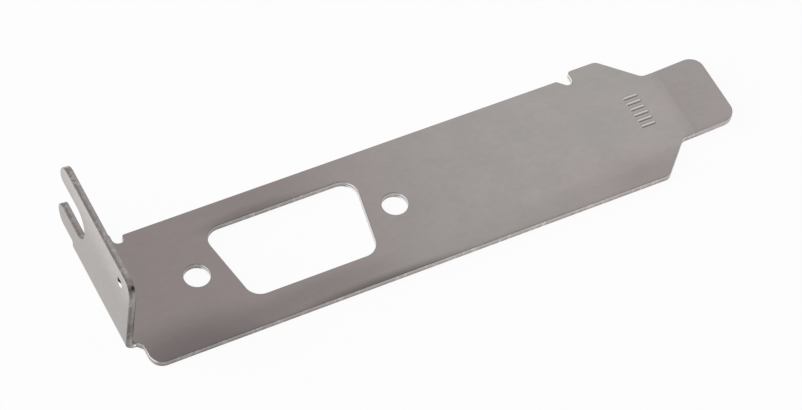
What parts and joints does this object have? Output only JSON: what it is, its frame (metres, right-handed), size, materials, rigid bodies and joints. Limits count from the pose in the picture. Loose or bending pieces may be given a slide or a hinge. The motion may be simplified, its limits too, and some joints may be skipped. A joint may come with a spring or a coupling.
{
  "type": "low profile slot bracket",
  "caption": "Low profile slot bracket folded from plated steel sheet, with a D-shaped connector opening, screw holes beside it, a tongue and a folded flange with an open screw slot.",
  "frame": {"origin": "midway between the two connector screw holes, on the card side of the plate", "axes": "+X from the flange to the tongue, +Y to the side that the flange's screw slot opens to, +Z out of the computer, the way the flange stands"},
  "size_m": [0.0792, 0.0226, 0.0115],
  "materials": {
    "plated_sheet": "dull plated mild steel sheet with a fine rolled grain and smooth rolled rims"
  },
  "bodies": {
    "root": {"bracket": "plated_sheet"}
  },
  "joints": []
}
